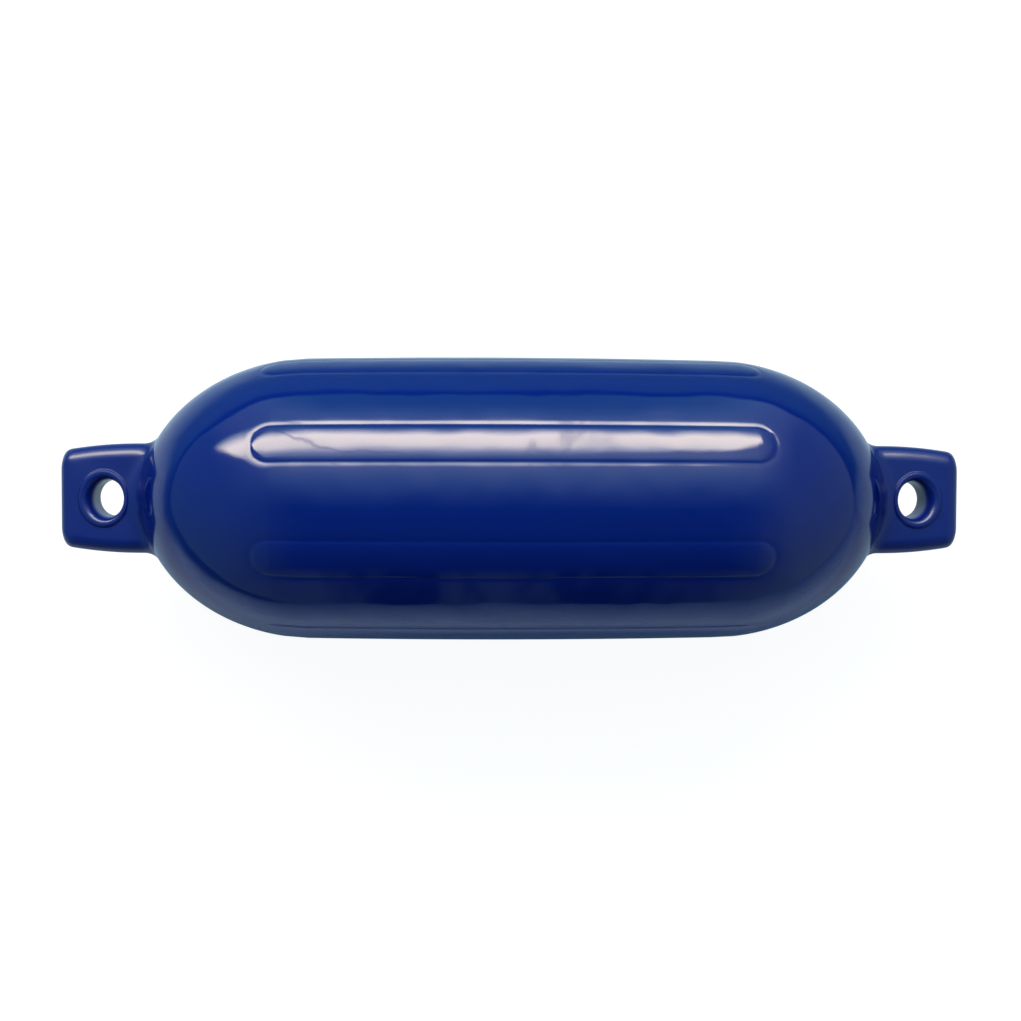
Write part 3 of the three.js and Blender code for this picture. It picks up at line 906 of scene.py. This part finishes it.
# %% Window
def window_material():
    """Emission whose colour follows the height on the panel, and that gives way to a clear pane where
    it is shaded. Each shade is a ramp along X plus a share of Y, and their values are multiplied."""
    material = bpy.data.materials.new("window_light")
    tree = clear_tree(material)
    output = node(tree, "ShaderNodeOutputMaterial", 600, 0)
    place = node(tree, "ShaderNodeTexCoord", -1100, 0)
    split = node(tree, "ShaderNodeSeparateXYZ", -900, 0)
    height = stretch(tree, -500, 100, -WINDOW_HALF_HEIGHT, WINDOW_HALF_HEIGHT)
    colour = colour_ramp(tree, -300, 100, WINDOW_COLOURS)
    glow = node(tree, "ShaderNodeEmission", 100, 0)
    glow.inputs["Strength"].default_value = WINDOW_STRENGTH
    link = tree.links.new
    link(place.outputs["Object"], split.inputs["Vector"])
    link(split.outputs["Y"], height.inputs["Value"])
    link(height.outputs["Result"], colour.inputs["Fac"])
    link(colour.outputs["Color"], glow.inputs["Color"])
    share = None
    for index, (slant, begins, ends, stops) in enumerate(WINDOW_SHADES):
        level = -200 - 300 * index
        line = node(tree, "ShaderNodeMath", -700, level, operation="MULTIPLY_ADD")
        line.inputs[1].default_value = slant
        across = stretch(tree, -500, level, begins, ends)
        shade = colour_ramp(tree, -300, level, stops)
        link(split.outputs["Y"], line.inputs[0])
        link(split.outputs["X"], line.inputs[2])
        link(line.outputs[0], across.inputs["Value"])
        link(across.outputs["Result"], shade.inputs["Fac"])
        if share:
            times = node(tree, "ShaderNodeMath", -50, level, operation="MULTIPLY")
            link(share, times.inputs[0])
            link(shade.outputs["Color"], times.inputs[1])
            share = times.outputs[0]
        else:
            share = shade.outputs["Color"]
    clear = node(tree, "ShaderNodeBsdfTransparent", 100, 100)
    pane = node(tree, "ShaderNodeMixShader", 300, 0)
    link(share, pane.inputs[0])
    link(clear.outputs[0], pane.inputs[1])
    link(glow.outputs[0], pane.inputs[2])
    link(pane.outputs[0], output.inputs["Surface"])
    return material


def window_panel():
    """A flat panel, turned to face the fender from the window's side, that the camera doesn't see."""
    panel = flat_sheet("window_panel", (WINDOW_LEFT, -WINDOW_HALF_HEIGHT),
                       (WINDOW_RIGHT, WINDOW_HALF_HEIGHT), window_material())
    outward = Vector((0, math.sin(WINDOW_ANGLE), math.cos(WINDOW_ANGLE)))
    along = Vector((1, 0, 0))
    down = outward.cross(along)
    turn = Matrix((along, down, outward)).transposed().to_4x4()
    middle = Vector((0, 0, AXIS_HEIGHT)) + WINDOW_DISTANCE * outward
    panel.matrix_world = Matrix.Translation(middle) @ turn
    panel.visible_camera = False
    return panel


window = window_panel()
print("window's middle in metres:", [round(value, 3) for value in window.matrix_world.translation])

# %% [markdown]
# ## The room
# The sky of the scene stands for the room. Its colour follows how far a direction leans to the
# window's side: dark and blue overhead and away from it, bright and greenish towards it. Beyond each
# end it is a plain dim tone. Low on the far side a few soft patches break up the dark. Walls with
# lamps on them would give the same reflections, but a few ramps are quicker to set.

# %% Room colours
# Stops by lean, from straight away from the window's side to straight towards it
ROOM_COLOURS = (
    (0.0, (0.0, 0.03, 0.0)),
    (0.05, (0.0, 0.03, 0.03)),
    (0.14, (0.03, 0.07, 0.25)),
    (0.445, (0.04, 0.12, 0.28)),
    (0.527, (0.19, 0.4, 0.55)),
    (0.607, (0.5, 0.9, 1.1)),
    (0.686, (1.0, 1.55, 1.6)),
    (0.76, (1.65, 2.0, 1.9)),
    (0.9, (1.2, 1.7, 1.6)),
    (0.967, (0.8, 1.4, 1.3)),
    (0.99, (0.27, 0.75, 0.5)),
    (1.0, (0.16, 0.55, 0.42)),
)

# Stops from straight beyond the left eye to straight beyond the right one
ROOM_ENDS = ((0.0, 1.0), (0.1, 1.0), (0.3, 0.5), (0.4, 0.0), (0.62, 0.0), (0.85, 1.0))
ROOM_PATCHES = ((0.35, 0.7), (0.42, 1.0), (0.435, 1.0), (0.465, 0.0), (0.48, 0.0), (0.505, 0.8),
                (0.52, 0.8), (0.548, 0.0), (0.56, 0.0), (0.59, 0.4), (0.61, 0.5), (0.63, 0.9))
ROOM_END_LEFT = (0.17, 0.37, 0.48)
ROOM_END_RIGHT = (0.3, 0.46, 0.5)
ROOM_PATCH_GLOW = (0.15, 0.24, 0.3)

# The lean over which the patches come in, counted as the room's colours are
PATCHES_NONE = 0.1
PATCHES_FULL = 0.03
WHITE = (1.0, 1.0, 1.0, 1.0)


# %% Room
def room_world():
    """Dim blue air that grows bright for directions that lean to the window's side, with soft patches
    low on the far side and a plain dim glow beyond each end of the fender. The camera sees white."""
    world = bpy.data.worlds.new("room")
    tree = clear_tree(world)
    output = node(tree, "ShaderNodeOutputWorld", 600, 0)
    place = node(tree, "ShaderNodeTexCoord", -1000, 0)
    split = node(tree, "ShaderNodeSeparateXYZ", -800, 0)
    lean = stretch(tree, -600, 0, -1.0, 1.0)
    air = colour_ramp(tree, -400, 0, ROOM_COLOURS)
    sideways = stretch(tree, -600, -300, -1.0, 1.0)
    ends = colour_ramp(tree, -400, -300, ROOM_ENDS)
    end_colours = colour_mix(tree, -400, -600, ROOM_END_LEFT, ROOM_END_RIGHT)
    patches = colour_ramp(tree, -400, 300, ROOM_PATCHES)
    low_down = stretch(tree, -400, 500, PATCHES_NONE, PATCHES_FULL, interpolation_type="SMOOTHSTEP")
    glowing = node(tree, "ShaderNodeMath", -200, 400, operation="MULTIPLY")
    lit = colour_mix(tree, -100, 200, second=ROOM_PATCH_GLOW)
    mixed = colour_mix(tree, -100, 0)
    room = node(tree, "ShaderNodeBackground", 0, 100)
    white = node(tree, "ShaderNodeBackground", 0, -100)
    white.inputs["Color"].default_value = WHITE
    path = node(tree, "ShaderNodeLightPath", 0, 400)
    pick = node(tree, "ShaderNodeMixShader", 300, 0)
    first, second = MIX_COLOURS
    link = tree.links.new
    link(place.outputs["Generated"], split.inputs["Vector"])
    link(split.outputs["Y"], lean.inputs["Value"])
    link(lean.outputs["Result"], air.inputs["Fac"])
    link(lean.outputs["Result"], low_down.inputs["Value"])
    link(split.outputs["X"], sideways.inputs["Value"])
    link(sideways.outputs["Result"], patches.inputs["Fac"])
    link(patches.outputs["Color"], glowing.inputs[0])
    link(low_down.outputs["Result"], glowing.inputs[1])
    link(glowing.outputs[0], lit.inputs[MIX_FACTOR])
    link(air.outputs["Color"], lit.inputs[first])
    link(lit.outputs[MIXED_COLOUR], mixed.inputs[first])
    link(sideways.outputs["Result"], end_colours.inputs[MIX_FACTOR])
    link(end_colours.outputs[MIXED_COLOUR], mixed.inputs[second])
    link(sideways.outputs["Result"], ends.inputs["Fac"])
    link(ends.outputs["Color"], mixed.inputs[MIX_FACTOR])
    link(mixed.outputs[MIXED_COLOUR], room.inputs["Color"])
    link(path.outputs["Is Camera Ray"], pick.inputs[0])
    link(room.outputs[0], pick.inputs[1])
    link(white.outputs[0], pick.inputs[2])
    link(pick.outputs[0], output.inputs["Surface"])
    return world


bpy.context.scene.world = room_world()
bpy.context.scene.view_settings.view_transform = "Standard"
print("world:", bpy.context.scene.world.name)
